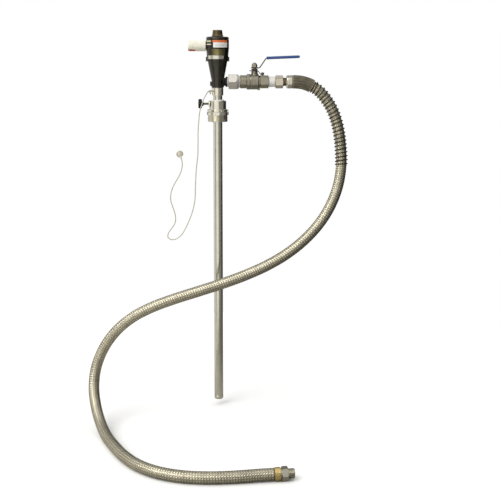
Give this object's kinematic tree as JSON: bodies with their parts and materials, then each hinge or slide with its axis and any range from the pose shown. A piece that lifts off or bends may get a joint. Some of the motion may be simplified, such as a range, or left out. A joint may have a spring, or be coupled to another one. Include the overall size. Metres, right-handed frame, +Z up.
{
  "type": "drum barrel pump",
  "caption": "Air-driven drum pump: motor head on a long suction tube with bung adapter, side outlet with ball valve, braided hose and earth wire.",
  "frame": {"origin": "on the suction tube's axis, in the plane where the bung adapter seats on the drum", "axes": "+Z up along the tube towards the motor, +X from the tube to the outlet valve, -Y the side the rating label faces"},
  "size_m": [0.7666, 0.62, 1.1501],
  "materials": {
    "black_body": "glossy black paint on cast metal",
    "bronze_fitting": "dark bronze, turned",
    "stainless": "satin stainless steel",
    "polished_stainless": "polished stainless steel",
    "cast_stainless": "shot-blasted investment casting",
    "blasted_stainless": "bead-blasted stainless steel",
    "dark_steel": "stainless plate, dark and dull",
    "brass": "turned brass",
    "silencer_plastic": "porous cream plastic",
    "red_plastic": "moulded red plastic",
    "white_plastic": "turned white fluoropolymer",
    "vane_plastic": "laminated phenolic",
    "blue_plastic": "dipped blue vinyl",
    "black_plastic": "moulded black plastic",
    "seal_rubber": "matt rubber",
    "guard_rubber": "dark brown rubber with grooves along it",
    "spring_steel": "dark spring steel",
    "hose_braid": "stainless wire braid",
    "wire_cover": "cream insulation"
  },
  "bodies": {
    "pump": {"air_inlet_fitting": "bronze_fitting", "motor_top_cap": "black_body", "motor_housing": "black_body", "flange_screw_left": "dark_steel", "flange_screw_right": "dark_steel", "motor_liner": "stainless", "lower_end_plate": "cast_stainless", "lower_bearing": "polished_stainless", "upper_end_plate": "cast_stainless", "upper_bearing": "polished_stainless", "exhaust_silencer": "silencer_plastic", "silencer_end_cap": "red_plastic", "pump_head_cone": "black_body", "shaft_seal": "seal_rubber", "tube_collar": "polished_stainless", "suction_tube": "stainless", "suction_foot": "stainless", "guide_bush_1": "white_plastic", "guide_bush_2": "white_plastic", "union_tailpiece": "stainless", "union_gasket": "seal_rubber", "valve_body": "cast_stainless", "valve_end_cap": "cast_stainless", "ball_seat_left": "white_plastic", "ball_seat_right": "white_plastic", "stem_packing": "white_plastic", "gland_nut": "dark_steel", "stop_bracket": "dark_steel", "stop_bolt": "stainless", "hose_nipple": "cast_stainless", "hose_ferrule": "polished_stainless", "hose": "hose_braid", "guard_sleeve": "guard_rubber", "spring_guard": "spring_steel", "end_ferrule": "brass", "end_fitting": "cast_stainless", "collar_terminal": "stainless", "collar_screw": "stainless", "ground_wire": "wire_cover", "magnet_terminal": "brass", "ground_magnet": "cast_stainless"},
    "rotor": {"motor_rotor": "stainless", "vane_1": "vane_plastic", "vane_2": "vane_plastic", "vane_3": "vane_plastic", "vane_4": "vane_plastic", "drive_shaft": "stainless", "shaft_coupling": "stainless", "impeller": "stainless"},
    "valve_handle": {"valve_lever": "dark_steel", "lever_grip": "blue_plastic", "lever_nut": "stainless", "valve_stem": "stainless", "valve_ball": "polished_stainless"},
    "outlet_nut": {"union_nut": "blasted_stainless"},
    "guide_bush": {"adapter_bush": "white_plastic"},
    "adapter": {"bung_adapter": "stainless"},
    "clamp_tip": {"clamp_pad": "brass"},
    "clamp_screw": {"clamp_screw": "stainless", "clamp_knob": "black_plastic"}
  },
  "joints": [
    {"name": "rotor_spin", "type": "hinge", "parent": "pump", "child": "rotor", "pos_m": [0, 0, 0.19], "axis": [0, 0, 1], "continuous": true},
    {"name": "lever_turn", "type": "hinge", "parent": "pump", "child": "valve_handle", "pos_m": [0.1093, 0, 0.098], "axis": [0, 0, 1], "range_deg": [-90, 0]},
    {"name": "outlet_nut_spin", "type": "hinge", "parent": "pump", "child": "outlet_nut", "pos_m": [0.047, 0, 0.098], "axis": [1, 0, 0], "continuous": true},
    {"name": "adapter_slide", "type": "slide", "parent": "pump", "child": "guide_bush", "axis": [0, 0, 1], "range_m": [-0.78, 0.005]},
    {"name": "adapter_swivel", "type": "hinge", "parent": "guide_bush", "child": "adapter", "pos_m": [0, 0, 0.02], "axis": [0, 0, 1], "continuous": true},
    {"name": "clamp_pad_slide", "type": "slide", "parent": "adapter", "child": "clamp_tip", "axis": [-1, 0, 0], "range_m": [0, 0.00376]},
    {"name": "clamp_knob_turn", "type": "hinge", "parent": "clamp_tip", "child": "clamp_screw", "pos_m": [-0.04, 0, 0.033], "axis": [-1, 0, 0], "range_deg": [0, 1080]}
  ],
  "couplings": [
    {"joint": "clamp_pad_slide", "follows": "clamp_knob_turn", "m_per_rad": 0.00019894}
  ]
}
